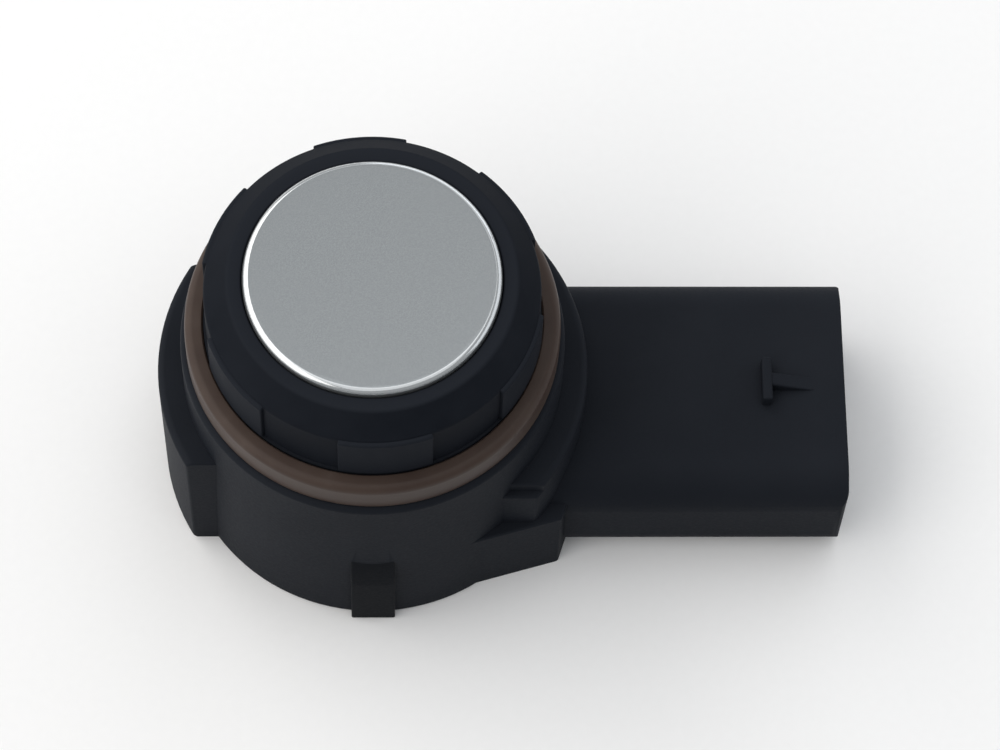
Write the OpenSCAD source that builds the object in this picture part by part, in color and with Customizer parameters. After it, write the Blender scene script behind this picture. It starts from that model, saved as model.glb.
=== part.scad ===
// Ultrasonic parking sensor: a round sensing head on a moulded housing with a side connector.
// Millimetres. Z is the sensing axis, X points out of the connector, the rear face is at Z = 0.

/* [Sensing pot] */
// Diameter of the sensing face
pot_d = 15.8; // [13:0.1:19]
// Depth of the pot
pot_h = 9; // [7:0.1:11]
// Side wall of the pot at the ends of its oval cavity
pot_wall = 1.7; // [1.2:0.1:2.2]
// Straight run of the oval cavity
cavity_straight = 3.8; // [2.5:0.1:5]
// Thickness of the sensing face
membrane_t = 0.8; // [0.5:0.05:1.2]
// Rounding of the sensing face's edge
pot_edge_r = 0.45; // [0.2:0.05:0.7]
// Width of the pot's rear flange
flange_w = 0.7; // [0.4:0.05:1]
// Thickness of the pot's rear flange
flange_t = 1; // [0.6:0.1:1.6]
// Margin from the ceramic disc to the cavity's side
piezo_margin = 0.8; // [0.5:0.05:1.4]
// Thickness of the ceramic disc
piezo_t = 0.5; // [0.3:0.05:0.9]
// Thickness of the damping pad
foam_t = 3.5; // [2:0.1:4.5]

/* [Soft rings] */
// Gap between pieces that are pushed together
slip_gap = 0.05; // [0.02:0.01:0.12]
// Skirt of the decoupling ring round the pot's flange
skirt_t = 0.5; // [0.35:0.05:1]
// Width of the ring's lip under the pot
lip_w = 1.2; // [0.8:0.1:1.8]
// Thickness of the ring's lip under the pot
lip_t = 1.2; // [0.8:0.1:1.8]
// Drop from the sensing face to the ring's top
ring_drop = 0.45; // [0.2:0.05:0.8]
// Step in from the neck to the ring's wall
ring_inset = 0.15; // [0.05:0.05:0.6]
// Width of the ring's sloped shoulder
shoulder_w = 1.2; // [0.8:0.05:1.5]
// Height of the ring's sloped shoulder
shoulder_h = 1.6; // [1:0.05:2.4]
// Rounding of the ring's edges
ring_edge_r = 0.4; // [0.2:0.05:0.6]
// Number of lugs
lug_count = 6; // [4:1:8]
// Angle that one lug spans
lug_angle = 32; // [24:1:40]
// Turn of the lugs about the sensing axis
lug_turn = 34.5; // [0:0.5:60]
// Height of the lugs
lug_h = 4; // [3:0.05:5]
// Drop from the sensing face to the lugs' tops
lug_drop = 1.9; // [1.4:0.05:2.4]
// How far the lugs stand out
lug_proud = 0.25; // [0.15:0.05:0.6]
// Rounding of the lugs' upper edge
lug_edge_r = 0.2; // [0.1:0.05:0.4]
// Gap between the neck and the lugs
lug_gap = 0.1; // [0.05:0.05:0.4]
// Thickness of the seal ring
seal_t = 1.2; // [0.8:0.05:1.8]
// Height of the seal ring
seal_h = 2.4; // [1.6:0.1:3.2]
// Rounding of the seal ring's upper edge
seal_edge_r = 0.55; // [0.2:0.05:0.75]
// Gap between the seal ring's top and the neck's top
seal_gap = 0.1; // [0.05:0.05:0.4]

/* [Housing] */
// Wall of the neck that the head sits in
neck_wall = 1.25; // [1:0.05:1.8]
// Ledge of the rim outside the seal ring
rim_ledge = 0.35; // [0.2:0.05:0.8]
// Rounding of the rim's edge
rim_r = 0.4; // [0.2:0.05:0.6]
// Draft of the barrel's lower part, on the radius
barrel_draft = 0.3; // [0:0.05:0.5]
// Start of the barrel's straight guide above the ears
guide_lift = 0.3; // [0.1:0.05:0.8]
// Chamfer round the rear face
base_chamfer = 0.2; // [0.1:0.05:0.6]
// Wall of the barrel
wall = 1.5; // [1.2:0.05:2]
// Shelf under the head
shelf_t = 1.2; // [0.8:0.1:1.8]
// Width of that shelf inside the ring's lip
shelf_w = 1; // [0.6:0.1:1.6]
// Room above the board
room_h = 9.65; // [8:0.05:12]
// How far the ears stand out from the barrel
ear_proud = 1.6; // [1:0.05:2.4]
// Height of the ears
ear_h = 11.7; // [9:0.1:13]
// Rounding of the ears' upper edge
ear_edge_r = 0.45; // [0.2:0.05:0.8]
// Width of the ear opposite the connector
ear_w = 14; // [11:0.1:18]
// Width of the ear at the connector
root_w = 17.8; // [15:0.1:19]
// Width of the step at both ends of that ear
step_w = 0.5; // [0.2:0.05:1]
// Height of the step at both ends of that ear
step_h = 0.9; // [0.4:0.05:2]
// Height of the connector's root block
root_h = 7; // [5:0.1:10]
// Angle between the root block's flanks and the connector
root_angle = 16; // [10:1:24]
// Length of the root block's flanks
root_flank = 9.1; // [7:0.1:11]
// Depth in the barrel at which the flanks and the ribs' slopes start
root_sink = 0.3; // [0.1:0.05:0.8]
// Corner between the root block's flanks and the connector
root_corner = 1.1; // [0.4:0.1:2]
// Width of the front and rear ribs
rib_w = 2.8; // [2:0.1:4]
// Height of the front and rear ribs
rib_h = 9; // [6:0.1:10]
// Height of the ribs' sloped upper part
rib_slope_h = 3.2; // [1:0.1:5]
// How far the ribs stand out
rib_proud = 0.45; // [0.2:0.05:0.8]
// Thickness of the rear lid
lid_t = 1; // [0.8:0.05:1.3]
// Ledge that the lid seats on
lid_step = 0.5; // [0.3:0.05:0.6]
// Width of the weld seam round the lid
seam_w = 0.25; // [0.15:0.05:0.4]
// Depth of the weld seam round the lid
seam_h = 0.2; // [0.1:0.05:0.4]
// Width of a board rest
rest_w = 1.8; // [1.2:0.1:2.4]
// Reach of a board rest from the wall
rest_l = 1.2; // [0.8:0.1:1.5]
// Height of a board rest
rest_h = 3; // [2:0.1:5]

/* [Connector] */
// Reach of the connector beyond the barrel
conn_l = 18.25; // [16:0.05:22]
// Width of the connector
conn_w = 15.8; // [14:0.1:18]
// Height of the connector
conn_t = 8.5; // [7.6:0.1:10]
// Corner rounding of the connector
conn_r = 2.5; // [2:0.1:3]
// Rounding of the mouth's corners, seen from the front
mouth_r = 0.7; // [0.4:0.1:1.6]
// Wall of the shroud
shroud_wall = 1.25; // [1:0.05:1.5]
// Depth of the socket
socket_depth = 13; // [11:0.1:14.5]
// Lead-in round the socket's mouth
lead_in = 0.35; // [0.2:0.05:0.6]
// Wall that holds the terminals
bulkhead_t = 2.4; // [1.6:0.1:3]
// Roof of the pocket behind that wall
pocket_roof = 1.3; // [1:0.1:2]
// Room beside the outer terminals in that pocket
pocket_side = 1; // [0.6:0.1:1.6]
// Setback of the latch bar from the mouth
latch_setback = 4.75; // [3.6:0.05:6]
// Width of the latch bar
latch_w = 3; // [2:0.1:4]
// Height of the latch bar
latch_h = 1; // [0.6:0.05:1.4]
// Thickness of the latch bar
latch_t = 0.65; // [0.4:0.05:1.2]
// Length of the latch bar's web
web_l = 2.9; // [2:0.1:3.4]
// Width of the latch bar's web
web_w = 0.9; // [0.5:0.1:1.6]
// Drop from the latch bar's top to its web
web_drop = 0.1; // [0.05:0.05:0.4]
// Spacing of the keying ribs in the socket
key_pitch = 5.8; // [4:0.1:7]
// Width of a keying rib
key_w = 0.8; // [0.5:0.1:1.2]
// Height of a keying rib
key_h = 0.6; // [0.3:0.05:0.9]
// Setback of the keying ribs from the mouth
key_setback = 1.4; // [0.6:0.1:3]
// Spacing of the terminals
pin_pitch = 3.6; // [3:0.1:4.2]
// Width of a terminal
pin_w = 1.2; // [0.8:0.05:1.5]
// Thickness of a terminal
pin_t = 0.63; // [0.5:0.01:0.8]
// Length of a terminal inside the socket
pin_reach = 7.6; // [6:0.1:9]
// Length of a terminal's tapered tip
tip_l = 0.9; // [0.5:0.1:1.5]
// Thickness of a terminal's tip
tip_t = 0.24; // [0.15:0.01:0.4]
// Height of the terminals above the board
pin_lift = 1; // [0.8:0.05:1.3]
// Distance of the terminals' tails from the chamber's wall
tail_inset = 2.2; // [1.8:0.1:3]
// Bend radius of the terminals
bend_r = 0.5; // [0.45:0.05:0.7]

/* [Electronics] */
// Thickness of the board
board_t = 1; // [0.8:0.05:1.2]
// Gap round the board
board_gap = 0.3; // [0.15:0.05:0.5]
// Gap round a tail in its hole
hole_gap = 0.25; // [0.1:0.05:0.4]
// Clear margin along the board's edge
board_edge = 1.5; // [1.2:0.1:2]
// Turn of the transformer about the sensing axis
drum_turn = 150; // [140:1:160]
// Diameter of the transformer drum
drum_d = 6.4; // [5:0.1:7.6]
// Height of the transformer drum
drum_h = 5; // [4:0.1:6]
// Thickness of the drum's flanges
drum_flange = 0.8; // [0.5:0.1:1.2]
// Diameter of the drum's core
drum_core_d = 3.2; // [2.4:0.1:4]
// Depth of the winding below the flanges' edge
coil_inset = 0.4; // [0.2:0.05:0.8]
// Side of the signal chip
chip_l = 6; // [5:0.1:7]
// Inset of the signal chip from the board's clear margin
chip_inset = 0.7; // [0.5:0.1:1]
// Height of the signal chip
chip_h = 0.9; // [0.6:0.05:1.4]
// Length of the storage capacitor
store_l = 3.5; // [2.8:0.1:4]
// Width of the storage capacitor
store_w = 2.8; // [2:0.1:3.2]
// Height of the storage capacitor
store_h = 1.9; // [1.2:0.1:2.8]
// Inset of the storage capacitor from the board's clear margin
store_inset = 0.9; // [0.6:0.1:1.4]
// Distance of the storage capacitor from the board's middle line
store_gap = 1.5; // [1:0.1:2]
// Length of a small capacitor or resistor
small_l = 1.6; // [1:0.1:1.8]
// Width of a small capacitor or resistor
small_w = 0.8; // [0.5:0.05:1]
// Height of a small capacitor
small_cap_h = 0.8; // [0.4:0.05:1]
// Height of a small resistor
small_res_h = 0.45; // [0.3:0.05:0.6]
// Place of the small capacitors' middle along X
small_x = 2.8; // [2.5:0.1:3.2]
// Inset of the small capacitors from the board's clear margin
small_inset = 2.1; // [1.8:0.1:2.6]
// Spacing of the small capacitors along X
small_dx = 2; // [1.9:0.1:2.3]
// Spacing of the small capacitors and resistors along Y
small_dy = 1.5; // [1.3:0.1:1.8]
// Diameter of the two wires
lead_d = 0.7; // [0.5:0.05:0.9]
// Straight foot of the two wires above the board
lead_foot = 0.8; // [0.5:0.1:1.4]
// Sideways sway of the two wires
lead_sway = 1.4; // [0.8:0.1:2]

/* [Hidden] */
$fn = 96;
pot_r = pot_d / 2;
cavity_l = pot_d - 2 * pot_wall;
cavity_w = cavity_l - cavity_straight;
piezo_d = cavity_w - 2 * piezo_margin;
flange_r = pot_r + flange_w;
skirt_r = flange_r + slip_gap + skirt_t;
bore_r = skirt_r + slip_gap;
neck_r = bore_r + neck_wall;
seal_r = neck_r + seal_t;
barrel_r = seal_r + rim_ledge;
base_r = barrel_r + barrel_draft;
ring_r = neck_r - ring_inset;
ring_top_r = ring_r - shoulder_w;
lug_r = ring_r + lug_proud;
ear_r = barrel_r + ear_proud;
chamber_r = barrel_r - wall;
lid_r = chamber_r + lid_step;
board_r = chamber_r - board_gap;
pin_z = conn_t / 2;
top_z = pin_z - pin_lift;
board_z = top_z - board_t;
gel_t = board_z - lid_t;
tail_z = lid_t + gel_t / 2;
shelf_z = top_z + room_h;
ring_z = shelf_z + shelf_t;
pot_z = ring_z + lip_t;
face_z = pot_z + pot_h;
membrane_z = face_z - membrane_t;
piezo_z = membrane_z - piezo_t;
foam_z = piezo_z - foam_t;
ring_top_z = face_z - ring_drop;
slope_a = atan(shoulder_w / (shoulder_h - ring_edge_r));
lug_z1 = face_z - lug_drop;
lug_z0 = lug_z1 - lug_h;
neck_z = lug_z0 - lug_gap;
rim_z = neck_z - seal_gap - seal_h;
mouth_x = barrel_r + conn_l;
socket_x = mouth_x - socket_depth;
pocket_x = socket_x - bulkhead_t;
pocket_w = 2 * pin_pitch + pin_w + 2 * pocket_side;
pocket_z = conn_t - pocket_roof;
tip_x = socket_x + pin_reach;
tail_x = chamber_r - tail_inset;
lead_r = lead_d / 2;
lead_hole_r = lead_r + slip_gap;
shelf_hole_r = flange_r - lip_w - shelf_w;
piezo_lead_x = -piezo_d / 4;
pot_lead_x = (piezo_d + cavity_l) / 4;
drum_r = drum_d / 2;
drum_at = board_r - board_edge - drum_r;
drum_x = drum_at * cos(drum_turn);
drum_y = drum_at * sin(drum_turn);
chip_y = -(board_r - board_edge - chip_inset - chip_l / 2);
store_x = -(board_r - board_edge - store_inset - store_l / 2);
store_y = -(store_w / 2 + store_gap);
small_y = board_r - board_edge - small_inset;

plastic = [0.13, 0.14, 0.155];
lid_plastic = [0.12, 0.13, 0.14];
silver = [0.60, 0.615, 0.625];
black_rubber = [0.11, 0.12, 0.135];
brown_rubber = [0.36, 0.31, 0.29];
gel_clear = [0.62, 0.66, 0.66];
ceramic_cream = [0.80, 0.78, 0.70];
foam_grey = [0.28, 0.28, 0.29];
filler_white = [0.78, 0.78, 0.76];
board_green = [0.07, 0.30, 0.16];
chip_black = [0.10, 0.10, 0.11];
ferrite_grey = [0.20, 0.20, 0.21];
copper = [0.66, 0.36, 0.18];
cap_tan = [0.72, 0.56, 0.34];
cap_brown = [0.50, 0.38, 0.28];
tin = [0.74, 0.73, 0.69];
lead_red = [0.55, 0.10, 0.09];
lead_black = [0.09, 0.09, 0.09];

// Arc points about a centre, from one angle to another
function arc(cx, cy, r, a0, a1, n = 8) =
  [for (i = [0 : n]) let (a = a0 + (a1 - a0) * i / n) [cx + r * cos(a), cy + r * sin(a)]];

// Rectangle with rounded corners, centred
module round_rect(w, h, r) {
  square([w - 2 * r, h], center = true);
  square([w, h - 2 * r], center = true);
  for (x = [-1, 1])
    for (y = [-1, 1])
      translate([x * (w / 2 - r), y * (h / 2 - r)])
        circle(r);
}

// Straight-sided oval along X, centred
module oval(l, w) {
  square([l - w, w], center = true);
  for (x = [-1, 1])
    translate([x * (l - w) / 2, 0])
      circle(w / 2);
}

// Prism along X with its outline in Y and Z
module along_x(x0, x1) {
  translate([x0, 0, 0])
    rotate([90, 0, 90])
      linear_extrude(x1 - x0)
        children();
}

// Prism along Y, centred on Y = 0, with its outline in X and Z
module across_y(w) {
  translate([0, w / 2, 0])
    rotate([90, 0, 0])
      linear_extrude(w)
        children();
}

// Barrel, rim and neck
module barrel_body() {
  rotate_extrude()
    polygon(concat(
      [[0, 0], [base_r - base_chamfer, 0], [base_r, base_chamfer], [barrel_r, ear_h + guide_lift]],
      arc(barrel_r - rim_r, rim_z - rim_r, rim_r, 0, 90),
      [[neck_r, rim_z], [neck_r, neck_z], [0, neck_z]]
    ));
}

// One ear on the side given, cut to a width, with a step at both ends of its top
module ear(side, width, step) {
  intersection() {
    rotate_extrude()
      polygon(concat(
        [[chamber_r, 0], [ear_r - base_chamfer, 0], [ear_r, base_chamfer]],
        arc(ear_r - ear_edge_r, ear_h - ear_edge_r, ear_edge_r, 0, 90),
        [[chamber_r, ear_h]]
      ));
    translate([side > 0 ? 0 : -2 * ear_r, 0, -ear_h])
      union() {
        translate([0, -width / 2, 0])
          cube([2 * ear_r, width, 2 * ear_h - step_h]);
        translate([0, step - width / 2, 0])
          cube([2 * ear_r, width - 2 * step, 3 * ear_h]);
      }
  }
}

// Root block: flanks that leave the barrel nearly along it and run in to the connector
module root_block() {
  foot_r = barrel_r - root_sink;
  foot = foot_r * [sin(root_angle), cos(root_angle)];
  corner = foot + root_flank * [cos(root_angle), -sin(root_angle)];
  end_x = corner[0] + root_corner;
  linear_extrude(root_h)
    polygon([
      [0, -chamber_r], [foot[0], -foot[1]], [corner[0], -corner[1]], [end_x, -conn_w / 2 + conn_r],
      [end_x, conn_w / 2 - conn_r], [corner[0], corner[1]], foot, [0, chamber_r]
    ]);
}

// Connector body with rounded mouth corners
module connector_body() {
  intersection() {
    along_x(0, mouth_x)
      translate([0, pin_z])
        round_rect(conn_w, conn_t, conn_r);
    translate([0, 0, -conn_t])
      linear_extrude(3 * conn_t)
        polygon(concat(
          [[0, -conn_w], [mouth_x - mouth_r, -conn_w]],
          arc(mouth_x - mouth_r, mouth_r - conn_w / 2, mouth_r, -90, 0),
          arc(mouth_x - mouth_r, conn_w / 2 - mouth_r, mouth_r, 0, 90),
          [[mouth_x - mouth_r, conn_w], [0, conn_w]]
        ));
  }
}

// Latch bar with its sloped web, on top of the shroud
module latch() {
  bar_x = mouth_x - latch_setback;
  root_z = conn_t - shroud_wall / 2;
  across_y(latch_w)
    polygon([
      [bar_x - latch_t, root_z], [bar_x, root_z],
      [bar_x, conn_t + latch_h], [bar_x - latch_t, conn_t + latch_h]
    ]);
  across_y(web_w)
    polygon([
      [bar_x - latch_t / 2, root_z], [bar_x + web_l, root_z], [bar_x + web_l, conn_t],
      [bar_x, conn_t + latch_h - web_drop], [bar_x - latch_t / 2, conn_t + latch_h - web_drop]
    ]);
}

// Ramp-topped rib on the front or rear of the barrel
module rib(side) {
  along_x(-rib_w / 2, rib_w / 2)
    polygon([
      [side * chamber_r, 0], [side * (base_r + rib_proud - base_chamfer), 0],
      [side * (base_r + rib_proud), base_chamfer],
      [side * (base_r + rib_proud), rib_h - rib_slope_h],
      [side * (barrel_r - root_sink), rib_h], [side * chamber_r, rib_h]
    ]);
}

// Outline of the rear lid, drawn in by a margin
module lid_outline(margin) {
  circle(lid_r - margin);
  translate([0, -pocket_w / 2 - lid_step + margin])
    square([pocket_x + lid_step - margin, pocket_w + 2 * lid_step - 2 * margin]);
}

// Socket outline, widened by a margin
module socket_outline(margin) {
  translate([0, pin_z])
    round_rect(
      conn_w - 2 * shroud_wall + 2 * margin,
      conn_t - 2 * shroud_wall + 2 * margin,
      conn_r - shroud_wall + margin
    );
}

// Chamber, lid seat, head bore and socket, cut out of the housing
module housing_cuts() {
  translate([0, 0, -1])
    cylinder(r = chamber_r, h = shelf_z + 1);
  translate([0, -pocket_w / 2, -1])
    cube([pocket_x, pocket_w, pocket_z + 1]);
  translate([0, 0, -1])
    linear_extrude(lid_t + 1)
      lid_outline(0);
  translate([0, 0, shelf_z - 1])
    cylinder(r = shelf_hole_r, h = shelf_t + 2);
  translate([0, 0, ring_z])
    cylinder(r = bore_r, h = pot_h + lip_t);
  along_x(socket_x, mouth_x + 1)
    socket_outline(0);
  along_x(mouth_x - lead_in, mouth_x + 1)
    socket_outline(lead_in);
}

// Moulded housing
module housing() {
  color(plastic)
  difference() {
    union() {
      difference() {
        union() {
          barrel_body();
          ear(-1, ear_w, 0);
          ear(1, root_w, step_w);
          root_block();
          connector_body();
          latch();
          rib(-1);
          rib(1);
        }
        housing_cuts();
      }
      for (a = [45 : 90 : 315])
        rotate([0, 0, a])
          translate([chamber_r - rest_l, -rest_w / 2, top_z])
            cube([rest_l + wall / 2, rest_w, rest_h]);
      for (side = [-1, 1])
        translate([socket_x - bulkhead_t / 2, side * key_pitch / 2 - key_w / 2, shroud_wall / 2])
          cube([socket_depth + bulkhead_t / 2 - key_setback, key_w, shroud_wall / 2 + key_h]);
    }
    for (i = [-1 : 1])
      translate([pocket_x - 1, i * pin_pitch - pin_w / 2, pin_z - pin_t / 2])
        cube([bulkhead_t + 2, pin_w, pin_t]);
  }
}

// Rear lid with a stepped weld seam
module rear_cover() {
  color(lid_plastic)
  union() {
    linear_extrude(lid_t)
      lid_outline(seam_w);
    translate([0, 0, seam_h])
      linear_extrude(lid_t - seam_h)
        lid_outline(slip_gap);
  }
}

// Soft layer between board and lid, with room for the terminals' tails
module sealing_gel() {
  color(gel_clear)
  difference() {
    translate([0, 0, lid_t])
      cylinder(r = board_r, h = gel_t);
    for (i = [-1 : 1])
      translate([tail_x - pin_t / 2, i * pin_pitch - pin_w / 2, tail_z])
        cube([pin_t, pin_w, gel_t]);
  }
}

// Aluminium pot: closed sensing face, oval cavity, rear flange
module membrane_pot() {
  color(silver)
  difference() {
    rotate_extrude()
      polygon(concat(
        [[0, pot_z], [flange_r, pot_z], [flange_r, pot_z + flange_t], [pot_r, pot_z + flange_t]],
        arc(pot_r - pot_edge_r, face_z - pot_edge_r, pot_edge_r, 0, 90, 10),
        [[0, face_z]]
      ));
    translate([0, 0, pot_z - 1])
      linear_extrude(membrane_z - pot_z + 1)
        oval(cavity_l, cavity_w);
  }
}

// Ceramic disc bonded to the inside of the sensing face
module piezo_disc() {
  color(ceramic_cream)
  translate([0, 0, piezo_z])
    cylinder(d = piezo_d, h = piezo_t);
}

// Oval filling of the pot between two heights, with holes for the two wires
module pot_plug(z0, z1) {
  difference() {
    translate([0, 0, z0])
      linear_extrude(z1 - z0)
        oval(cavity_l - 2 * slip_gap, cavity_w - 2 * slip_gap);
    for (x = [piezo_lead_x, pot_lead_x])
      translate([x, 0, z0 - 1])
        cylinder(r = lead_hole_r, h = z1 - z0 + 2);
  }
}

// Pad behind the ceramic disc
module damping_foam() {
  color(foam_grey)
  pot_plug(foam_z, piezo_z);
}

// Filling that closes the pot behind the pad
module pot_filler() {
  color(filler_white)
  pot_plug(pot_z, foam_z);
}

// Soft ring round the pot, with lugs
module decoupling_ring() {
  in_r = pot_r + slip_gap;
  groove_r = flange_r + slip_gap;
  groove_z = pot_z + flange_t + slip_gap;
  lug_root_r = ring_top_r;
  color(black_rubber)
  union() {
    rotate_extrude()
      polygon(concat(
        [[in_r, ring_top_z - ring_edge_r / 3], [in_r + ring_edge_r / 3, ring_top_z]],
        arc(ring_top_r - ring_edge_r, ring_top_z - ring_edge_r, ring_edge_r, 90, slope_a),
        arc(ring_r - ring_edge_r, ring_top_z - shoulder_h, ring_edge_r, slope_a, 0, 4),
        [[ring_r, neck_z], [skirt_r, neck_z], [skirt_r, ring_z], [flange_r - lip_w, ring_z]],
        [[flange_r - lip_w, pot_z], [groove_r, pot_z], [groove_r, groove_z], [in_r, groove_z]]
      ));
    for (i = [0 : lug_count - 1])
      rotate([0, 0, lug_turn + i * 360 / lug_count - lug_angle / 2])
        rotate_extrude(angle = lug_angle)
          polygon(concat(
            [[lug_root_r, lug_z0], [lug_r - lug_edge_r / 2, lug_z0], [lug_r, lug_z0 + lug_edge_r / 2]],
            arc(lug_r - lug_edge_r, lug_z1 - lug_edge_r, lug_edge_r, 0, 90, 5),
            [[lug_root_r, lug_z1]]
          ));
  }
}

// Brown soft ring on the rim, round the neck
module seal_ring() {
  color(brown_rubber)
  rotate_extrude()
    polygon(concat(
      [[neck_r + slip_gap, rim_z]],
      arc(seal_r - seal_edge_r / 3, rim_z + seal_edge_r / 3, seal_edge_r / 3, -90, 0, 4),
      arc(seal_r - seal_edge_r, rim_z + seal_h - seal_edge_r, seal_edge_r, 0, 90),
      [[neck_r + slip_gap, rim_z + seal_h]]
    ));
}

// Round board with holes for the tails and the wires
module circuit_board() {
  color(board_green)
  difference() {
    translate([0, 0, board_z])
      cylinder(r = board_r, h = board_t);
    for (i = [-1 : 1])
      translate([tail_x, i * pin_pitch, board_z - 1])
        cylinder(d = pin_w + 2 * hole_gap, h = board_t + 2);
    for (x = [piezo_lead_x + lead_sway, pot_lead_x - lead_sway])
      translate([x, 0, board_z - 1])
        cylinder(r = lead_hole_r, h = board_t + 2);
  }
}

// Drive and receive chip
module signal_chip() {
  color(chip_black)
  translate([-chip_l / 2, chip_y - chip_l / 2, top_z])
    cube([chip_l, chip_l, chip_h]);
}

// Ferrite drum
module transformer_core() {
  color(ferrite_grey)
  translate([drum_x, drum_y, top_z])
    rotate_extrude()
      polygon([
        [0, 0], [drum_r, 0], [drum_r, drum_flange], [drum_core_d / 2, drum_flange],
        [drum_core_d / 2, drum_h - drum_flange], [drum_r, drum_h - drum_flange],
        [drum_r, drum_h], [0, drum_h]
      ]);
}

// Winding between the drum's flanges
module transformer_coil() {
  color(copper)
  translate([drum_x, drum_y, top_z + drum_flange])
    difference() {
      cylinder(r = drum_r - coil_inset, h = drum_h - 2 * drum_flange);
      translate([0, 0, -1])
        cylinder(r = drum_core_d / 2 + slip_gap, h = drum_h + 2);
    }
}

// Capacitor that stores the energy of one pulse
module storage_capacitor() {
  color(cap_tan)
  translate([store_x - store_l / 2, store_y - store_w / 2, top_z])
    cube([store_l, store_w, store_h]);
}

// Small capacitors, in rows
module chip_capacitors() {
  color(cap_brown)
  for (i = [-1 : 1])
    for (j = [0 : 1])
      translate([small_x + i * small_dx - small_l / 2, small_y - j * small_dy - small_w / 2, top_z])
        cube([small_l, small_w, small_cap_h]);
}

// Small resistors, in a column beside the chip
module chip_resistors() {
  color(chip_black)
  for (j = [0 : 2])
    translate([chip_l / 2 + small_w, j * small_dy + chip_y - small_w / 2, top_z])
      cube([small_l, small_w, small_res_h]);
}

// Bent terminal: blade in the socket, shank through the bulkhead, tail in the board
module terminal(i) {
  color(tin)
  translate([0, i * pin_pitch, 0])
    across_y(pin_w)
      polygon(concat(
        [[tip_x, pin_z - tip_t / 2], [tip_x, pin_z + tip_t / 2], [tip_x - tip_l, pin_z + pin_t / 2]],
        arc(tail_x + bend_r, pin_z - bend_r, bend_r + pin_t / 2, 90, 180),
        [[tail_x - pin_t / 2, tail_z], [tail_x + pin_t / 2, tail_z]],
        arc(tail_x + bend_r, pin_z - bend_r, bend_r - pin_t / 2, 180, 90),
        [[tip_x - tip_l, pin_z - pin_t / 2]]
      ));
}

module terminal_supply() {
  terminal(-1);
}

module terminal_signal() {
  terminal(0);
}

module terminal_ground() {
  terminal(1);
}

// Height and sideways place of a wire's ring of points: straight, one soft sway, straight
function lead_rings(x, z_end, way, n) = concat(
  [[x, z_end]],
  [for (i = [0 : n]) let (t = i / n) [
    x + way * lead_sway * (1 - cos(180 * t)) / 2,
    shelf_z - slip_gap - t * (room_h - lead_foot)
  ]],
  [[x + way * lead_sway, board_z + board_t / 4]]
);

// Wire from a height down into its hole in the board
module lead(x, z_end, way) {
  sides = 14;
  rings = lead_rings(x, z_end, way, 12);
  last = len(rings) - 1;
  points = [
    for (r = rings)
      for (k = [0 : sides - 1])
        [r[0] + lead_r * cos(360 * k / sides), lead_r * sin(360 * k / sides), r[1]]
  ];
  walls = [
    for (i = [0 : last - 1])
      for (k = [0 : sides - 1])
        let (a = i * sides + k, b = i * sides + (k + 1) % sides)
          each [[a, b, b + sides], [a, b + sides, a + sides]]
  ];
  ends = [
    [for (k = [sides - 1 : -1 : 0]) k],
    [for (k = [0 : sides - 1]) last * sides + k]
  ];
  polyhedron(points, concat(walls, ends));
}

// Wire to the ceramic disc
module piezo_lead() {
  color(lead_red)
  lead(piezo_lead_x, piezo_z, 1);
}

// Wire to the pot
module pot_lead() {
  color(lead_black)
  lead(pot_lead_x, membrane_z, -1);
}

housing();
rear_cover();
sealing_gel();
membrane_pot();
piezo_disc();
damping_foam();
pot_filler();
decoupling_ring();
seal_ring();
circuit_board();
signal_chip();
transformer_core();
transformer_coil();
storage_capacitor();
chip_capacitors();
chip_resistors();
terminal_supply();
terminal_signal();
terminal_ground();
piezo_lead();
pot_lead();
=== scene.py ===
"""Ultrasonic parking sensor: finishes, softened mouldings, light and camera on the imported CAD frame."""

import functools
import logging
import math
from dataclasses import dataclass, field
from enum import Enum
from typing import Any, Iterable

import bmesh
import bpy
from mathutils import Matrix, Vector


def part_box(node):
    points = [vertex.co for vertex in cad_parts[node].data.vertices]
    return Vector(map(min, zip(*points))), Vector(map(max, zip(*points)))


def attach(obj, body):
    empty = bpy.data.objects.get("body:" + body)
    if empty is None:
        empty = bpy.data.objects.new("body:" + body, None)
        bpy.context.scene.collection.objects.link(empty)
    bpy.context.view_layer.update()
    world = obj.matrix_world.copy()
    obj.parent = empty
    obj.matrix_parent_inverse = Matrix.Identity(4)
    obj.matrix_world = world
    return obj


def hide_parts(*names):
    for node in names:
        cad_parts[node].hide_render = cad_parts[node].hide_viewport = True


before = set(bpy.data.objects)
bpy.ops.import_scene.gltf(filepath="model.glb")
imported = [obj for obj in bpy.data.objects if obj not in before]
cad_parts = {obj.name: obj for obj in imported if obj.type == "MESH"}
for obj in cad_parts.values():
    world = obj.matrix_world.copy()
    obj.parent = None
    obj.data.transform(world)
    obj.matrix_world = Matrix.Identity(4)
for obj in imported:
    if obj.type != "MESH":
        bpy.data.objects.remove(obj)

MM = 0.001
WELD = 0.002 * MM
CREASE = math.radians(32)
BEVEL_STEPS = 3
ROUND_BEVEL = 0.5
ROOT_BODY = "root"
# Face attribute that marks where light or shade is painted into the colour: the darker rib fronts, the
# paler top faces and lugs of the black ring, and the paler rim of the pot.
PAINTED_LIGHT_MARK = "painted_light_mark"
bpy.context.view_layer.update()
LOG = logging.getLogger("parking_sensor")

Rgba = tuple[float, float, float, float]
Point = tuple[float, float, float]
Profile = list[tuple[float, float]]
Socket = bpy.types.NodeSocket

EVEN: Point = (1.0, 1.0, 1.0)


def paint(red: int, green: int, blue: int) -> Rgba:
    """Linear colour of a display colour.

    Args:
        red: Red from 0 to 255.
        green: Green from 0 to 255.
        blue: Blue from 0 to 255.

    Returns:
        The colour as linear red, green, blue and alpha.
    """

    def linear(level: int) -> float:
        """Linear value of one display level, by the sRGB curve."""
        share = level / 255
        return share / 12.92 if share <= 0.04045 else ((share + 0.055) / 1.055) ** 2.4

    return (linear(red), linear(green), linear(blue), 1.0)


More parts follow.
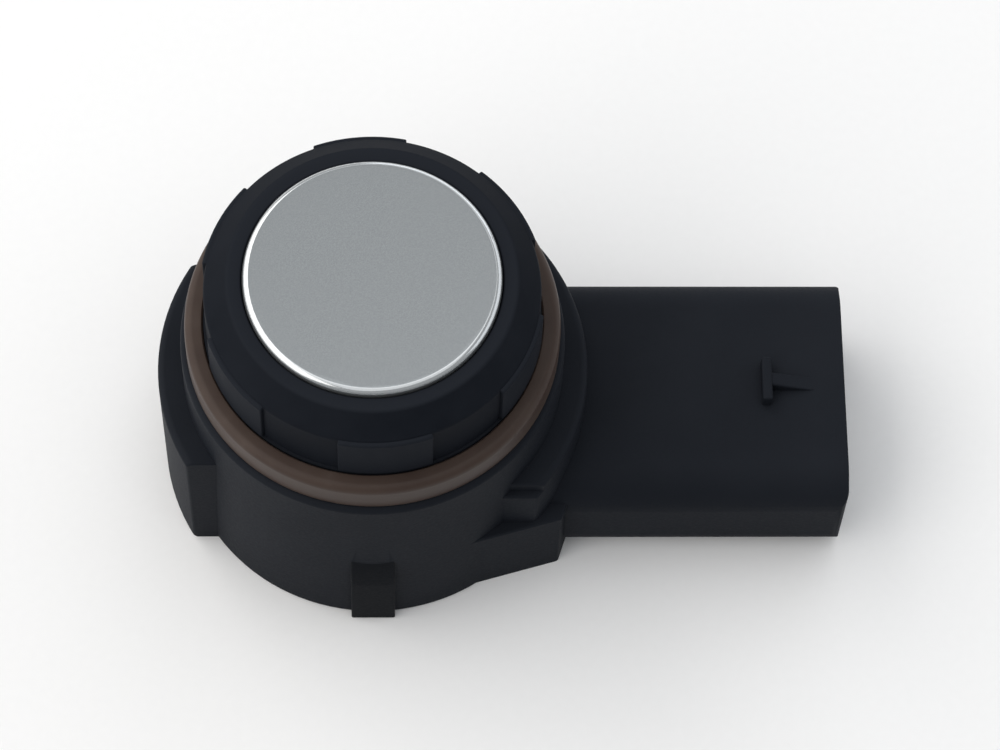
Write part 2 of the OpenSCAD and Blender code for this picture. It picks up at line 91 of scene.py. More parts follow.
class Pattern(Enum):
    """Texture that breaks up a finish."""

    GRAIN = "ShaderNodeTexNoise"
    CELLS = "ShaderNodeTexVoronoi"
    BANDS = "ShaderNodeTexWave"


class NodeSheet:
    """The node tree of one material, with short calls that add and join nodes."""

    GRAIN_DETAIL = 3.0
    MIDDLE_RANGE = (0.25, 0.75)

    def __init__(self, name: str) -> None:
        """Start a material with a Principled shader.

        Args:
            name: Name of the material.
        """
        self.material = bpy.data.materials.new(name)
        self.material.use_nodes = True
        self.tree = self.material.node_tree
        self.tree.nodes.clear()
        self.shader = self.add("ShaderNodeBsdfPrincipled")
        self.add("ShaderNodeOutputMaterial", {"Surface": self.shader.outputs["BSDF"]})
        self.place = self.add("ShaderNodeTexCoord").outputs["Object"]

    def add(self, kind: str, sockets: dict[str | int, Any] | None = None,
            **options: Any) -> bpy.types.Node:
        """Add a node.

        Args:
            kind: Blender's name of the node type.
            sockets: Values of input sockets by name or number; an output socket is linked.
            **options: Properties of the node.

        Returns:
            The new node.
        """
        node = self.tree.nodes.new(kind)
        for key, value in options.items():
            setattr(node, key, value)
        for key, value in (sockets or {}).items():
            self.feed(node, key, value)
        return node

    def feed(self, node: bpy.types.Node, key: str | int, value: Any) -> None:
        """Set an input socket, or link an output socket to it.

        Args:
            node: Node that takes the value.
            key: Name or number of its input socket.
            value: A constant, or an output socket of another node.
        """
        if isinstance(value, Socket):
            self.tree.links.new(value, node.inputs[key])
        else:
            node.inputs[key].default_value = value

    def surface(self, **values: Any) -> None:
        """Set sockets of the shader, with spaces in their names written as underscores."""
        for key, value in values.items():
            self.feed(self.shader, key.replace("_", " "), value)

    def pattern(self, kind: Pattern, cell: float, stretch: Point = EVEN) -> Socket:
        """Add a texture on Object coordinates.

        Args:
            kind: Which texture.
            cell: Size of its features in metres.
            stretch: Factor on each axis of the coordinates.

        Returns:
            The texture's factor, about 0 to 1.
        """
        place = self.place
        if stretch != EVEN:
            place = self.add("ShaderNodeMapping", {"Vector": place, "Scale": stretch}).outputs[0]
        node = self.add(kind.value, {"Vector": place, "Scale": 1.0 / cell})
        if kind is Pattern.GRAIN:
            node.inputs["Detail"].default_value = self.GRAIN_DETAIL
        if kind is Pattern.BANDS:
            node.bands_direction = "Z"
            return node.outputs["Fac"]
        return node.outputs[0]

    def tones(self, factor: Socket, stops: Iterable[tuple[float, Rgba]]) -> Socket:
        """Turn a factor into a colour that runs through stops.

        Args:
            factor: Socket that drives the colour.
            stops: Positions from 0 to 1 with their colours.

        Returns:
            The colour socket.
        """
        node = self.add("ShaderNodeValToRGB", {"Fac": factor})
        stops = list(stops)
        ramp = node.color_ramp.elements
        while len(ramp) < len(stops):
            ramp.new(0.5)
        for element, (position, colour) in zip(ramp, stops):
            element.position, element.color = position, colour
        return node.outputs["Color"]

    def spread(self, factor: Socket, low: float, high: float) -> Socket:
        """Map a factor's middle range onto two values.

        Args:
            factor: Socket from 0 to 1.
            low: Value at the range's start.
            high: Value at its end.

        Returns:
            The mapped socket.
        """
        start, end = self.MIDDLE_RANGE
        sockets = {"Value": factor, "From Min": start, "From Max": end, "To Min": low, "To Max": high}
        return self.add("ShaderNodeMapRange", sockets).outputs["Result"]

    def mixed(self, factor: Socket, plain: Any, other: Any) -> Socket:
        """Mix two colours.

        Args:
            factor: Socket from 0 to 1.
            plain: Colour, or colour socket, where the factor is 0.
            other: Colour, or colour socket, where it is 1.

        Returns:
            The mixed colour socket.
        """
        # The node has sockets for each data type; the colours are inputs 6 and 7 and output 2.
        mix = self.add("ShaderNodeMix", data_type="RGBA")
        for index, value in ((0, factor), (6, plain), (7, other)):
            self.feed(mix, index, value)
        return mix.outputs[2]

    def marked(self, layer: str) -> Socket:
        """Read a mesh attribute that marks faces with shares from 0 to 1."""
        return self.add("ShaderNodeAttribute", attribute_name=layer).outputs["Fac"]

    def shown(self) -> Socket:
        """Tell the rays that show a surface from those that only carry its light.

        Returns:
            The socket that is 1 for rays that show the surface.
        """
        path = self.add("ShaderNodeLightPath").outputs
        seen = path["Is Camera Ray"]
        for other in ("Is Glossy Ray", "Is Transmission Ray"):
            seen = self.add("ShaderNodeMath", {0: seen, 1: path[other]}, operation="MAXIMUM").outputs[0]
        return seen

    def relief(self, height: Socket, depth: float, strength: float,
               under: Socket | None = None) -> Socket:
        """Turn a height into a bumped normal.

        Args:
            height: Socket with the height.
            depth: Depth of the relief in metres.
            strength: Share of the effect.
            under: Normal of a coarser relief below it.

        Returns:
            The normal socket.
        """
        sockets = {"Height": height, "Distance": depth, "Strength": strength}
        if under is not None:
            sockets["Normal"] = under
        return self.add("ShaderNodeBump", sockets).outputs["Normal"]


@dataclass(frozen=True)
class Finish:
    """A finish of two close tones over a fine pattern, with its gloss and relief."""

    name: str
    tone: Rgba
    other_tone: Rgba
    gloss: tuple[float, float] = (0.45, 0.6)
    pattern: Pattern = Pattern.GRAIN
    cell: float = 0.3 * MM
    depth: float = 0.01 * MM
    strength: float = 0.5
    metal: float = 0.0
    specular: float = 0.4
    stretch: Point = EVEN
    stops: tuple[float, ...] = (0.3, 0.7)

    @functools.cache
    def material(self) -> bpy.types.Material:
        """Build the finish as a material, once for all that wear it.

        Returns:
            The material, named as the finish.
        """
        sheet = NodeSheet(self.name)
        sheet.surface(Metallic=self.metal, Specular_IOR_Level=self.specular)
        self.shade(sheet)
        return sheet.material

    def shade(self, sheet: NodeSheet) -> None:
        """Add the finish's own nodes.

        Args:
            sheet: Node tree to add to.
        """
        texture = sheet.pattern(self.pattern, self.cell, self.stretch)
        sheet.surface(
            Base_Color=sheet.tones(texture, zip(self.stops, (self.tone, self.other_tone))),
            Roughness=sheet.spread(texture, *self.gloss),
            Normal=sheet.relief(texture, self.depth, self.strength),
        )


@dataclass(frozen=True)
class MouldedPlastic(Finish):
    """Black thermoplastic from an eroded mould: fine grain over faint flow marks, and painted shade that
    darkens the marked rib fronts.
    """

    stops: tuple[float, ...] = (0.25, 0.75)
    flow: float = 6.0 * MM
    flow_depth: float = 0.02 * MM
    flow_strength: float = 0.25
    pit_ratio: float = 1.6
    pit_strength: float = 0.35
    # Painted shade: a darker colour on the marked rib fronts that stands in for the shade they fall in.
    painted_shade: Rgba = (0.006, 0.007, 0.009, 1.0)

    def shade(self, sheet: NodeSheet) -> None:
        """Add flow marks, pits, grain, the gloss and the painted shade on the marked faces.

        Args:
            sheet: Node tree to add to.
        """
        flow = sheet.pattern(Pattern.GRAIN, self.flow, self.stretch)
        grain = sheet.pattern(Pattern.GRAIN, self.cell)
        pits = sheet.pattern(Pattern.CELLS, self.pit_ratio * self.cell)
        waves = sheet.relief(flow, self.flow_depth, self.flow_strength)
        pitted = sheet.relief(pits, self.depth, self.pit_strength, waves)
        tones = sheet.tones(flow, zip(self.stops, (self.tone, self.other_tone)))
        # The base colour mixes in the painted shade where faces are marked.
        sheet.surface(
            Base_Color=sheet.mixed(sheet.marked(PAINTED_LIGHT_MARK), tones, self.painted_shade),
            Roughness=sheet.spread(grain, *self.gloss),
            Normal=sheet.relief(grain, self.depth, self.strength, pitted),
        )


@dataclass(frozen=True)
class SoftRubber(Finish):
    """Moulded soft ring: satin skin with a faint bloom in patches, and a painted sheen that makes the
    marked top faces and lugs paler.
    """

    strength: float = 0.4
    stops: tuple[float, ...] = (0.3, 0.62, 0.85)
    bloom: Rgba = (0.1, 0.1, 0.1, 1.0)
    # Painted sheen: a paler colour on the marked upward faces and lugs that stands in for the light they
    # catch.
    painted_sheen: Rgba = (0.02, 0.02, 0.02, 1.0)
    patch: float = 3.0 * MM

    def shade(self, sheet: NodeSheet) -> None:
        """Add the bloom, the painted sheen on the marked faces, a fine skin and its gloss.

        Args:
            sheet: Node tree to add to.
        """
        patch = sheet.pattern(Pattern.GRAIN, self.patch)
        skin = sheet.pattern(Pattern.GRAIN, self.cell)
        tones = sheet.tones(patch, zip(self.stops, (self.tone, self.other_tone, self.bloom)))
        # The base colour mixes in the painted sheen where faces are marked.
        sheet.surface(
            Base_Color=sheet.mixed(sheet.marked(PAINTED_LIGHT_MARK), tones, self.painted_sheen),
            Roughness=sheet.spread(patch, *self.gloss),
            Normal=sheet.relief(skin, self.depth, self.strength),
        )


@dataclass(frozen=True)
class SprayedMetal(Finish):
    """Silver coat on aluminium: fine flakes, faint orange peel, and a rim painted paler as a painted
    highlight, with a lower roughness there.
    """

    strength: float = 0.3
    stops: tuple[float, ...] = (0.1, 0.7)
    flake: float = 0.12 * MM
    # Painted highlight: a paler colour on the marked rim that stands in for the lamp's glint on it.
    painted_glint: Rgba = (0.6, 0.6, 0.6, 1.0)
    glint_gloss: float = 0.1

    def shade(self, sheet: NodeSheet) -> None:
        """Add the flakes, the orange peel, a flake-driven gloss and the painted highlight on the smoother
        rim.

        Args:
            sheet: Node tree to add to.
        """
        flakes = sheet.pattern(Pattern.CELLS, self.flake)
        peel = sheet.pattern(Pattern.GRAIN, self.cell)
        coat = sheet.tones(flakes, zip(self.stops, (self.other_tone, self.tone)))
        rim = sheet.marked(PAINTED_LIGHT_MARK)
        gloss = {0: rim, 1: -self.glint_gloss, 2: sheet.spread(flakes, *self.gloss)}
        # The base colour mixes in the painted highlight on the marked rim; its roughness drops there too.
        sheet.surface(
            Base_Color=sheet.mixed(rim, coat, self.painted_glint),
            Roughness=sheet.add("ShaderNodeMath", gloss, operation="MULTIPLY_ADD").outputs[0],
            Normal=sheet.relief(peel, self.depth, self.strength),
        )


@dataclass(frozen=True)
class BoardMask(Finish):
    """Solder mask with the paler lines of tracks under it."""

    strength: float = 0.6
    track_share: float = 0.05
    fibre: float = 0.2 * MM

    def shade(self, sheet: NodeSheet) -> None:
        """Add the tracks and the mask's slight relief over them.

        Args:
            sheet: Node tree to add to.
        """
        bricks = {"Vector": sheet.place, "Scale": 1.0 / self.cell, "Mortar Size": self.track_share,
                  "Color1": self.tone, "Color2": self.tone, "Mortar": self.other_tone}
        tracks = sheet.add("ShaderNodeTexBrick", bricks)
        fibres = sheet.pattern(Pattern.GRAIN, self.fibre)
        sheet.surface(
            Base_Color=tracks.outputs["Color"],
            Roughness=sheet.spread(fibres, *self.gloss),
            Normal=sheet.relief(tracks.outputs["Fac"], self.depth, self.strength),
        )


# The housing's darker colour on the rib fronts is painted shade.
HOUSING_PLASTIC = MouldedPlastic(
    "housing_plastic", paint(27, 30, 36), paint(31, 34, 40), gloss=(0.54, 0.64),
    cell=0.16 * MM, depth=0.012 * MM, specular=0.06, painted_shade=paint(14, 17, 22))
LID_PLASTIC = MouldedPlastic(
    "lid_plastic", paint(25, 27, 30), paint(29, 31, 34), gloss=(0.48, 0.58),
    cell=0.12 * MM, depth=0.008 * MM, specular=0.1)
# The silver face's paler rim colour is a painted highlight.
SILVER_FACE = SprayedMetal(
    "silver_face", paint(154, 158, 160), paint(149, 153, 156), gloss=(0.22, 0.25),
    cell=0.6 * MM, depth=0.005 * MM, metal=0.75, painted_glint=paint(208, 211, 213))
# The black rubber's paler colour on its top faces and lugs is a painted sheen.
BLACK_RUBBER = SoftRubber(
    "black_rubber", paint(23, 26, 32), paint(27, 30, 36), gloss=(0.52, 0.62),
    cell=0.14 * MM, depth=0.01 * MM, specular=0.03, bloom=paint(31, 34, 40), painted_sheen=paint(33, 36, 42))
BROWN_RUBBER = SoftRubber(
    "brown_rubber", paint(64, 52, 47), paint(71, 59, 53), gloss=(0.36, 0.44),
    cell=0.18 * MM, depth=0.008 * MM, specular=0.16, bloom=paint(81, 70, 65))
TINNED_BRASS = Finish(
    "tinned_brass", paint(196, 194, 186), paint(176, 172, 160), gloss=(0.22, 0.36),
    cell=0.5 * MM, depth=0.004 * MM, metal=1.0, stretch=(0.15, 1.0, 1.0))
CLEAR_GEL = Finish(
    "clear_gel", paint(190, 198, 198), paint(204, 210, 209), gloss=(0.08, 0.16),
    pattern=Pattern.CELLS, cell=1.4 * MM, depth=0.02 * MM, specular=0.45)
PIEZO_CERAMIC = Finish(
    "piezo_ceramic", paint(214, 208, 190), paint(226, 221, 205), gloss=(0.5, 0.7),
    cell=0.15 * MM, depth=0.006 * MM)
GREY_FOAM = Finish(
    "grey_foam", paint(92, 92, 95), paint(66, 66, 70), gloss=(0.85, 0.95),
    pattern=Pattern.CELLS, cell=0.35 * MM, depth=0.12 * MM, specular=0.1)
WHITE_FILLER = Finish(
    "white_filler", paint(212, 212, 208), paint(226, 226, 222), gloss=(0.5, 0.65),
    cell=1.2 * MM, depth=0.03 * MM)
BOARD_GREEN = BoardMask(
    "board_green", paint(24, 92, 52), paint(48, 124, 74), gloss=(0.28, 0.4),
    cell=3.0 * MM, depth=0.02 * MM)
CHIP_BLACK = Finish(
    "chip_black", paint(40, 40, 42), paint(48, 48, 50), gloss=(0.5, 0.62),
    cell=0.1 * MM, depth=0.006 * MM)
FERRITE = Finish(
    "ferrite", paint(70, 70, 73), paint(84, 84, 86), gloss=(0.45, 0.7),
    cell=0.2 * MM, depth=0.02 * MM)
COPPER_WIRE = Finish(
    "copper_wire", paint(150, 74, 36), paint(206, 122, 72), gloss=(0.22, 0.34),
    pattern=Pattern.BANDS, cell=1.9 * MM, depth=0.06 * MM, metal=1.0)
CAPACITOR_TAN = Finish(
    "capacitor_tan", paint(190, 150, 92), paint(202, 164, 106), gloss=(0.4, 0.55),
    cell=0.2 * MM, depth=0.01 * MM)
CAPACITOR_BROWN = Finish(
    "capacitor_brown", paint(132, 100, 74), paint(146, 114, 88), gloss=(0.4, 0.6),
    cell=0.15 * MM, depth=0.01 * MM)
LEAD_RED = Finish(
    "lead_red", paint(140, 28, 25), paint(152, 36, 32), gloss=(0.35, 0.5),
    cell=0.3 * MM, depth=0.01 * MM)
LEAD_BLACK = Finish(
    "lead_black", paint(26, 26, 27), paint(34, 34, 35), gloss=(0.35, 0.5),
    cell=0.3 * MM, depth=0.01 * MM)


def finished_piece(name: str, shape: bmesh.types.BMesh, finish: Finish, node: str) -> None:
    """Turn a bmesh into a smooth-shaded piece that rides on the part's body and stands for a CAD node.

    Args:
        name: Name of the piece.
        shape: Its geometry in metres, in the CAD frame; it is freed here.
        finish: Its finish, named as the record's material slot.
        node: The CAD node that it replaces.
    """
    bmesh.ops.dissolve_degenerate(shape, dist=WELD, edges=shape.edges)
    bmesh.ops.recalc_face_normals(shape, faces=shape.faces)
    for face in shape.faces:
        face.smooth = True
    for edge in shape.edges:
        edge.smooth = edge.is_manifold and edge.calc_face_angle() < CREASE
    mesh = bpy.data.meshes.new(name)
    shape.to_mesh(mesh)
    shape.free()
    mesh.materials.append(finish.material())
    piece = bpy.data.objects.new(name, mesh)
    bpy.context.scene.collection.objects.link(piece)
    even = piece.modifiers.new("even_shading", "WEIGHTED_NORMAL")
    even.keep_sharp = True
    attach(piece, ROOT_BODY)
    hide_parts(node)
    LOG.info("%s: %d faces, stands for %s", name, len(mesh.polygons), node)


def dress_node(node: str, finish: Finish) -> None:
    """Give a CAD node its finish.

    Args:
        node: Name of the node.
        finish: The finish to wear.
    """
    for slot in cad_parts[node].material_slots:
        slot.material = finish.material()
    LOG.info("%s: dressed in %s", node, finish.name)


def copy_node(node: str) -> bmesh.types.BMesh:
    """Copy the mesh of a CAD node, with its doubled points joined.

    Args:
        node: Name of the node.

    Returns:
        The copy in metres, in the CAD frame.
    """
    shape = bmesh.new()
    shape.from_mesh(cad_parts[node].data)
    bmesh.ops.remove_doubles(shape, verts=shape.verts, dist=WELD)
    return shape


def soften(shape: bmesh.types.BMesh, edges: list[bmesh.types.BMEdge], width: float, clamp: bool) -> None:
    """Round edges of a shape.

    Args:
        shape: The shape that has the edges.
        edges: The edges to round.
        width: Distance from each edge to where the rounding starts.
        clamp: Whether the width gives way where roundings would meet.
    """
    bmesh.ops.bevel(shape, geom=edges, offset=width, offset_type="OFFSET", segments=BEVEL_STEPS,
                    profile=ROUND_BEVEL, affect="EDGES", clamp_overlap=clamp, material=-1)


def revolve(profile: Profile, steps: int) -> bmesh.types.BMesh:
    """Spin a closed profile about the sensing axis.

    Args:
        profile: Radius and height of its points, in metres, in order.
        steps: Number of steps in the full turn.

    Returns:
        The closed ring.
    """
    shape = bmesh.new()
    verts = [shape.verts.new((radius, 0.0, height)) for radius, height in profile]
    edges = [shape.edges.new(pair) for pair in zip(verts, verts[1:] + verts[:1])]
    bmesh.ops.spin(shape, geom=verts + edges, cent=(0, 0, 0), axis=(0, 0, 1),
                   angle=math.tau, steps=steps, use_merge=True)
    bmesh.ops.remove_doubles(shape, verts=shape.verts, dist=WELD)
    bmesh.ops.recalc_face_normals(shape, faces=shape.faces)
    return shape


def arc(radius: float, height: float, bend: float, start: float, end: float, steps: int) -> Profile:
    """Points of a rounded corner in a profile.

    Args:
        radius: Radius of the corner's centre from the axis.
        height: Height of the corner's centre.
        bend: Radius of the corner.
        start: First angle in degrees.
        end: Last angle in degrees.
        steps: Number of steps.

    Returns:
        The points in order.
    """
    angles = [math.radians(start + (end - start) * step / steps) for step in range(steps + 1)]
    return [(radius + bend * math.cos(a), height + bend * math.sin(a)) for a in angles]


@dataclass
class SensingHead:
    """The two soft rings and the pot with what is inside it."""

    pot_radius: float = 7.9 * MM
    slip_gap: float = 0.05 * MM
    flange_radius: float = 8.6 * MM
    flange_height: float = 1.0 * MM
    lip_width: float = 1.2 * MM
    skirt_radius: float = 9.15 * MM
    ring_top_radius: float = 9.1 * MM
    ring_radius: float = 10.3 * MM
    ring_edge: float = 0.4 * MM
    shoulder: float = 1.6 * MM
    lug_radius: float = 10.55 * MM
    lug_height: float = 4.0 * MM
    lug_gap: float = 0.1 * MM
    lug_edge: float = 0.2 * MM
    lug_sink: float = 0.6 * MM
    lug_count: int = 6
    lug_span: float = math.radians(32)
    lug_start: float = math.radians(18.5)
    neck_radius: float = 10.45 * MM
    seal_edge: float = 0.55 * MM
    seal_chamfer: float = 0.1 * MM
    flat_margin: float = 0.02
    # Range of face normal z on the pot's rounded edge that gets the painted highlight.
    glint_lift: tuple[float, float] = (0.6, 0.985)
    turn_steps: int = 192
    lug_steps: int = 12

    def build(self) -> None:
        """Build both rings and the pot, and dress what is inside it."""
        self.build_decoupling_ring()
        self.build_seal_ring()
        self.build_pot()
        dress_node("piezo_disc", PIEZO_CERAMIC)
        dress_node("damping_foam", GREY_FOAM)
        dress_node("pot_filler", WHITE_FILLER)

    def build_pot(self) -> None:
        """Copy the pot with its rounded edge shaded smooth and marked for the painted highlight."""
        pot = copy_node("membrane_pot")
        painted_glint = pot.faces.layers.float.new(PAINTED_LIGHT_MARK)
        lowest, highest = self.glint_lift
        for face in pot.faces:
            face[painted_glint] = float(lowest < face.normal.z < highest)
        finished_piece("membrane_pot_shell", pot, SILVER_FACE, "membrane_pot")

    def build_decoupling_ring(self) -> None:
        """Build the black ring with its lugs and softened edges, its upward faces and lugs marked for the
        painted sheen.
        """
        low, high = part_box("decoupling_ring")
        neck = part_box("housing")[1].z
        pot_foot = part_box("membrane_pot")[0].z
        inside = self.pot_radius + self.slip_gap
        groove = self.flange_radius + self.slip_gap
        groove_top = pot_foot + self.flange_height + self.slip_gap
        lip = self.flange_radius - self.lip_width
        edge, inner_edge = self.ring_edge, self.ring_edge / 3
        run = self.ring_radius - self.ring_top_radius
        slope = math.degrees(math.atan(run / (self.shoulder - edge)))
        slope_lift = math.sin(math.radians(slope)) + self.flat_margin
        profile = arc(inside + inner_edge, high.z - inner_edge, inner_edge, 180, 90, steps=4)
        profile += arc(self.ring_top_radius - edge, high.z - edge, edge, 90, slope, steps=6)
        profile += arc(self.ring_radius - edge, high.z - self.shoulder, edge, slope, 0, steps=6)
        profile += [(self.ring_radius, neck), (self.skirt_radius, neck)]
        profile += [(self.skirt_radius, low.z), (lip, low.z), (lip, pot_foot), (groove, pot_foot)]
        profile += [(groove, groove_top), (inside, groove_top)]
        ring = revolve(profile, self.turn_steps)
        # Painted sheen: the more a face looks up, the paler it is painted.
        painted_sheen = ring.faces.layers.float.new(PAINTED_LIGHT_MARK)
        for face in ring.faces:
            face[painted_sheen] = max(0.0, (face.normal.z - slope_lift) / (1.0 - slope_lift))
        self.add_lugs(ring, neck + self.lug_gap)
        finished_piece("decoupling_ring_moulding", ring, BLACK_RUBBER, "decoupling_ring")

    def add_lugs(self, ring: bmesh.types.BMesh, foot: float) -> None:
        """Add the lugs as rounded pads that are sunk in the ring's wall.

        Args:
            ring: The revolved ring.
            foot: Height of the lugs' feet.
        """
        edge, top = self.lug_edge, foot + self.lug_height
        root = self.ring_radius - self.lug_sink
        profile = [(root, foot)]
        profile += arc(self.lug_radius - edge / 2, foot + edge / 2, edge / 2, -90, 0, steps=3)
        profile += arc(self.lug_radius - edge, top - edge, edge, 0, 90, steps=5)
        profile += [(root, top)]
        known = set(ring.faces)
        section = ring.faces.new([ring.verts.new((radius, 0.0, height)) for radius, height in profile])
        bmesh.ops.rotate(ring, verts=section.verts, cent=(0, 0, 0),
                         matrix=Matrix.Rotation(self.lug_start, 3, "Z"))
        geometry = [section, *section.edges, *section.verts]
        bmesh.ops.spin(ring, geom=geometry, cent=(0, 0, 0), axis=(0, 0, 1),
                       angle=self.lug_span, steps=self.lug_steps)
        pad = [face for face in ring.faces if face not in known]
        bmesh.ops.recalc_face_normals(ring, faces=pad)
        ends = [face for face in pad if len(face.verts) == len(profile)]
        rims = [rim for face in ends for rim in face.edges
                if all(vert.co.xy.length > root + edge for vert in rim.verts)]
        soften(ring, rims, edge, clamp=True)
        pad = [face for face in ring.faces if face not in known]
        # The lugs get the full painted sheen.
        painted_sheen = ring.faces.layers.float[PAINTED_LIGHT_MARK]
        for face in pad:
            face[painted_sheen] = 1.0
        for step in range(1, self.lug_count):
            copy = bmesh.ops.duplicate(ring, geom=pad)["geom"]
            verts = [item for item in copy if isinstance(item, bmesh.types.BMVert)]
            turn = Matrix.Rotation(step * math.tau / self.lug_count, 3, "Z")
            bmesh.ops.rotate(ring, verts=verts, cent=(0, 0, 0), matrix=turn)

    def build_seal_ring(self) -> None:
        """Build the brown ring round the neck."""
        low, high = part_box("seal_ring")
        inside = self.neck_radius + self.slip_gap
        foot_edge = self.seal_edge / 3
        profile = [(inside, low.z)]
        profile += arc(high.x - foot_edge, low.z + foot_edge, foot_edge, -90, 0, steps=5)
        profile += arc(high.x - self.seal_edge, high.z - self.seal_edge, self.seal_edge, 0, 90, steps=10)
        profile += [(inside + self.seal_chamfer, high.z), (inside, high.z - self.seal_chamfer)]
        ring = revolve(profile, self.turn_steps)
        finished_piece("seal_ring_moulding", ring, BROWN_RUBBER, "seal_ring")


@dataclass
class Housing:
    """The moulded housing with its edges softened, and its welded lid."""

    edge: float = 0.14 * MM
    flat: float = math.radians(0.6)
    sharp: float = math.radians(38)
    mouth: float = 30.25 * MM
    mouth_height: float = 8.5 * MM
    mouth_flat: float = 6.9 * MM
    mouth_touch: float = 0.01 * MM
    barrel_reach: float = 11.9 * MM
    barrel_end: float = 16.0 * MM
    foot_clear: float = 0.25 * MM
    latch_start: float = 20.0 * MM
    latch_foot: float = 8.45 * MM
    rib_half: float = 1.41 * MM
    rib_reach: float = 12.15 * MM
    rib_top: float = 9.0 * MM

    def build(self) -> None:
        """Build the softened housing and dress the lid and the gel."""
        self.build_shell()
        dress_node("rear_cover", LID_PLASTIC)
        dress_node("sealing_gel", CLEAR_GEL)

    def build_shell(self) -> None:
        """Copy the housing node, merge its flats, round its outer edges and mark the rib fronts for painted
        shade.
        """
        shell = copy_node("housing")
        bmesh.ops.dissolve_limit(shell, angle_limit=self.flat, use_dissolve_boundaries=False,
                                 verts=shell.verts, edges=shell.edges)
        soft = [edge for edge in shell.edges if self.is_outer_corner(edge)]
        soften(shell, soft, self.edge, clamp=False)
        # Painted shade: the rib fronts are marked to be painted darker.
        rib_shade_mask = shell.faces.layers.float.new(PAINTED_LIGHT_MARK)
        for face in shell.faces:
            face[rib_shade_mask] = float(self.is_rib_face(face))
        LOG.info("housing: %d corner edges softened", len(soft))
        finished_piece("housing_moulding", shell, HOUSING_PLASTIC, "housing")

    def is_outer_corner(self, edge: bmesh.types.BMEdge) -> bool:
        """Tell whether an edge is an outer corner that shows.

        Args:
            edge: Edge of the housing copy.

        Returns:
            True where the moulding's edge is rounded.
        """
        if not edge.is_manifold or not edge.is_convex or edge.calc_face_angle() < self.sharp:
            return False
        middle = (edge.verts[0].co + edge.verts[1].co) / 2
        reach = math.hypot(middle.x, middle.y)
        on_barrel = reach > self.barrel_reach and middle.x < self.barrel_end and middle.z > self.foot_clear
        on_latch = middle.x > self.latch_start and middle.z > self.latch_foot
        return on_barrel or on_latch or self.is_mouth_edge(edge)

    def is_mouth_edge(self, edge: bmesh.types.BMEdge) -> bool:
        """Tell whether an edge runs round the socket's mouth.

        Args:
            edge: Edge of the housing copy.

        Returns:
            True inside the mouth, and outside it between the rounded corners.
        """
        if any(abs(vert.co.x - self.mouth) > self.mouth_touch for vert in edge.verts):
            return False
        middle = (edge.verts[0].co + edge.verts[1].co) / 2 - Vector((0, 0, self.mouth_height / 2))
        wall = min(edge.link_faces, key=lambda face: abs(face.normal.x))
        inside = wall.normal.y * middle.y + wall.normal.z * middle.z < 0
        return inside or abs(middle.y) < self.mouth_flat

    def is_rib_face(self, face: bmesh.types.BMFace) -> bool:
        """Tell whether a face is the front of a rib, which gets painted shade.

        Args:
            face: Face of the housing copy.

        Returns:
            True on the front and the slope of both ribs.
        """
        middle = face.calc_center_median()
        on_rib = abs(middle.x) < self.rib_half and middle.z < self.rib_top
        return on_rib and abs(middle.y) > self.rib_reach


@dataclass
class Electronics:
    """Board, parts, leads and the terminals that run out into the socket."""

    finishes: dict[str, Finish] = field(default_factory=lambda: {
        "circuit_board": BOARD_GREEN,
        "signal_chip": CHIP_BLACK,
        "transformer_core": FERRITE,
        "transformer_coil": COPPER_WIRE,
        "storage_capacitor": CAPACITOR_TAN,
        "chip_capacitors": CAPACITOR_BROWN,
        "chip_resistors": CHIP_BLACK,
        "terminal_supply": TINNED_BRASS,
        "terminal_signal": TINNED_BRASS,
        "terminal_ground": TINNED_BRASS,
        "piezo_lead": LEAD_RED,
        "pot_lead": LEAD_BLACK,
    })

    def build(self) -> None:
        """Dress each node."""
        for node, finish in self.finishes.items():
            dress_node(node, finish)


@dataclass(frozen=True)
class SoftBox:
    """One rectangular area lamp aimed at the sensor."""

    name: str
    place: Point
    size: tuple[float, float]
    power: float
    colour: tuple[float, float, float] = (1.0, 1.0, 1.0)

    def build(self, aim: Point) -> None:
        """Hang the lamp.

        Args:
            aim: Point that it faces.
        """
        data = bpy.data.lights.new(self.name, "AREA")
        data.shape, data.energy, data.color = "RECTANGLE", self.power, self.colour
        data.size, data.size_y = self.size
        lamp = bpy.data.objects.new(self.name, data)
        lamp.location = self.place
        lamp.rotation_euler = (Vector(aim) - Vector(self.place)).to_track_quat("-Z", "Y").to_euler()
        bpy.context.scene.collection.objects.link(lamp)


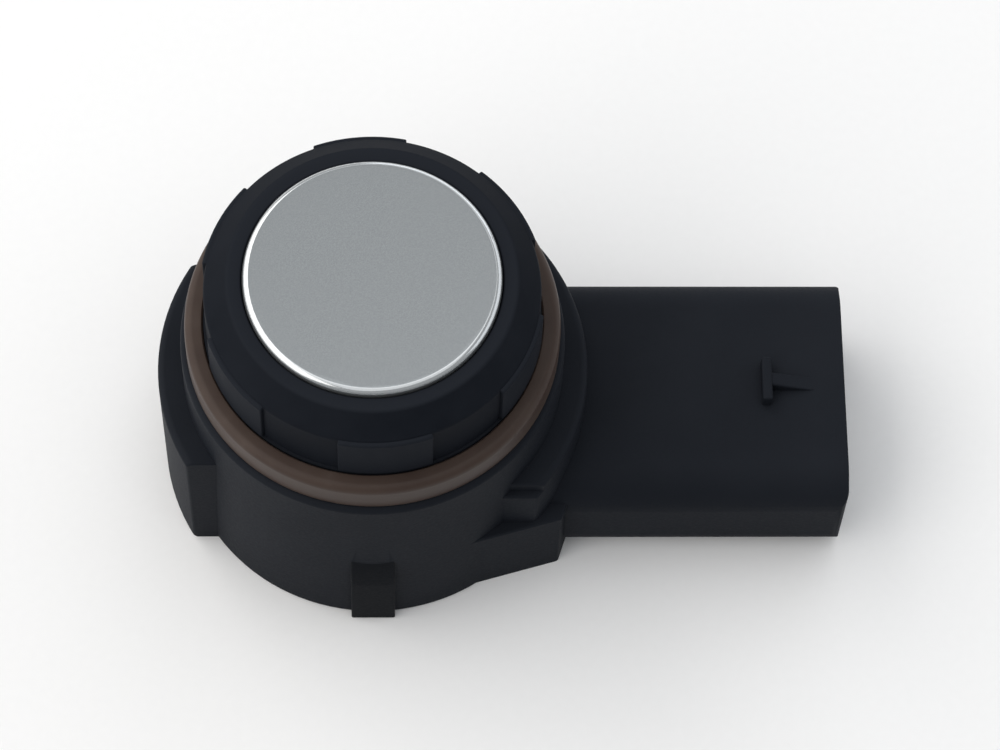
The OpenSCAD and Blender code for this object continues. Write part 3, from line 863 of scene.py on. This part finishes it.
@dataclass
class Studio:
    """Pale floor, soft lamps and the camera."""

    aim: Point = (0.008, 0.0, 0.010)
    air: float = 0.34
    air_tone: Rgba = (0.95, 0.98, 1.0, 1.0)
    floor_radius: float = 1.5
    floor_steps: int = 96
    floor_drop: float = 0.02 * MM
    floor_tone: Rgba = (0.94, 0.94, 0.945, 1.0)
    floor_bounce: Rgba = (0.42, 0.42, 0.43, 1.0)
    floor_fibre: float = 0.6 * MM
    floor_shade: float = 0.985
    floor_stops: tuple[float, float] = (0.2, 0.8)
    floor_roughness: float = 0.9
    floor_specular: float = 0.05
    eye: Point = (0.92 * MM, -107.0 * MM, 241.0 * MM)
    ray: Point = (0.0281, 0.4202, -0.9076)
    lens: float = 144.0
    sensor: float = 36.0
    nearest: float = 0.01
    lamps: tuple[SoftBox, ...] = (
        SoftBox("window_left", (-0.56, 0.04, 0.42), (1.70, 0.85), 7.1, (1.0, 0.97, 0.93)),
        SoftBox("top_front", (0.05, -0.10, 0.65), (0.70, 0.70), 0.95),
        SoftBox("sky_back", (0.00, 0.34, 0.73), (0.80, 0.80), 0.87),
        SoftBox("glow_back", (0.22, 0.55, 0.20), (0.50, 0.24), 0.55, (0.93, 0.96, 1.0)),
        SoftBox("fill_right", (0.55, 0.12, 0.20), (0.70, 0.35), 0.62, (0.95, 0.97, 1.0)),
    )

    def build(self) -> None:
        """Build the whole studio."""
        bpy.context.scene.view_settings.view_transform = "Standard"
        self.build_air()
        self.build_floor()
        for lamp in self.lamps:
            lamp.build(self.aim)
        self.build_camera()

    def build_air(self) -> None:
        """Fill the world with even pale light."""
        world = bpy.data.worlds.new("studio_air")
        world.use_nodes = True
        back = world.node_tree.nodes["Background"]
        back.inputs["Color"].default_value = self.air_tone
        back.inputs["Strength"].default_value = self.air
        bpy.context.scene.world = world

    def build_floor(self) -> None:
        """Lay the pale floor under the part."""
        shape = bmesh.new()
        bmesh.ops.create_circle(shape, cap_ends=True, segments=self.floor_steps, radius=self.floor_radius,
                                matrix=Matrix.Translation((0, 0, -self.floor_drop)))
        mesh = bpy.data.meshes.new("studio_floor")
        shape.to_mesh(mesh)
        shape.free()
        sheet = NodeSheet("floor_paper")
        fibre = sheet.pattern(Pattern.GRAIN, self.floor_fibre)
        shade = tuple(self.floor_shade * level for level in self.floor_tone[:3]) + (1.0,)
        paper = sheet.tones(fibre, zip(self.floor_stops, (shade, self.floor_tone)))
        sheet.surface(Base_Color=sheet.mixed(sheet.shown(), self.floor_bounce, paper),
                      Roughness=self.floor_roughness, Specular_IOR_Level=self.floor_specular)
        mesh.materials.append(sheet.material)
        floor = bpy.data.objects.new("studio_floor", mesh)
        bpy.context.scene.collection.objects.link(floor)

    def build_camera(self) -> None:
        """Stand the camera where the photograph was taken, with a longer lens."""
        forward = Vector(self.ray).normalized()
        right = (Vector((1, 0, 0)) - forward.x * forward).normalized()
        above = right.cross(forward)
        turn = Matrix((right, above, -forward)).transposed()
        data = bpy.data.cameras.new("front_camera")
        data.lens, data.sensor_width, data.clip_start = self.lens, self.sensor, self.nearest
        camera = bpy.data.objects.new("front_camera", data)
        camera.matrix_world = Matrix.Translation(self.eye) @ turn.to_4x4()
        bpy.context.scene.collection.objects.link(camera)
        bpy.context.scene.camera = camera


def main() -> None:
    """Build the studio and every sub-assembly in order."""
    logging.basicConfig(level=logging.INFO, format="%(name)s %(message)s")
    for assembly in (Studio(), Housing(), SensingHead(), Electronics()):
        assembly.build()
        LOG.info("%s built", type(assembly).__name__)


if __name__ == "__main__":
    main()
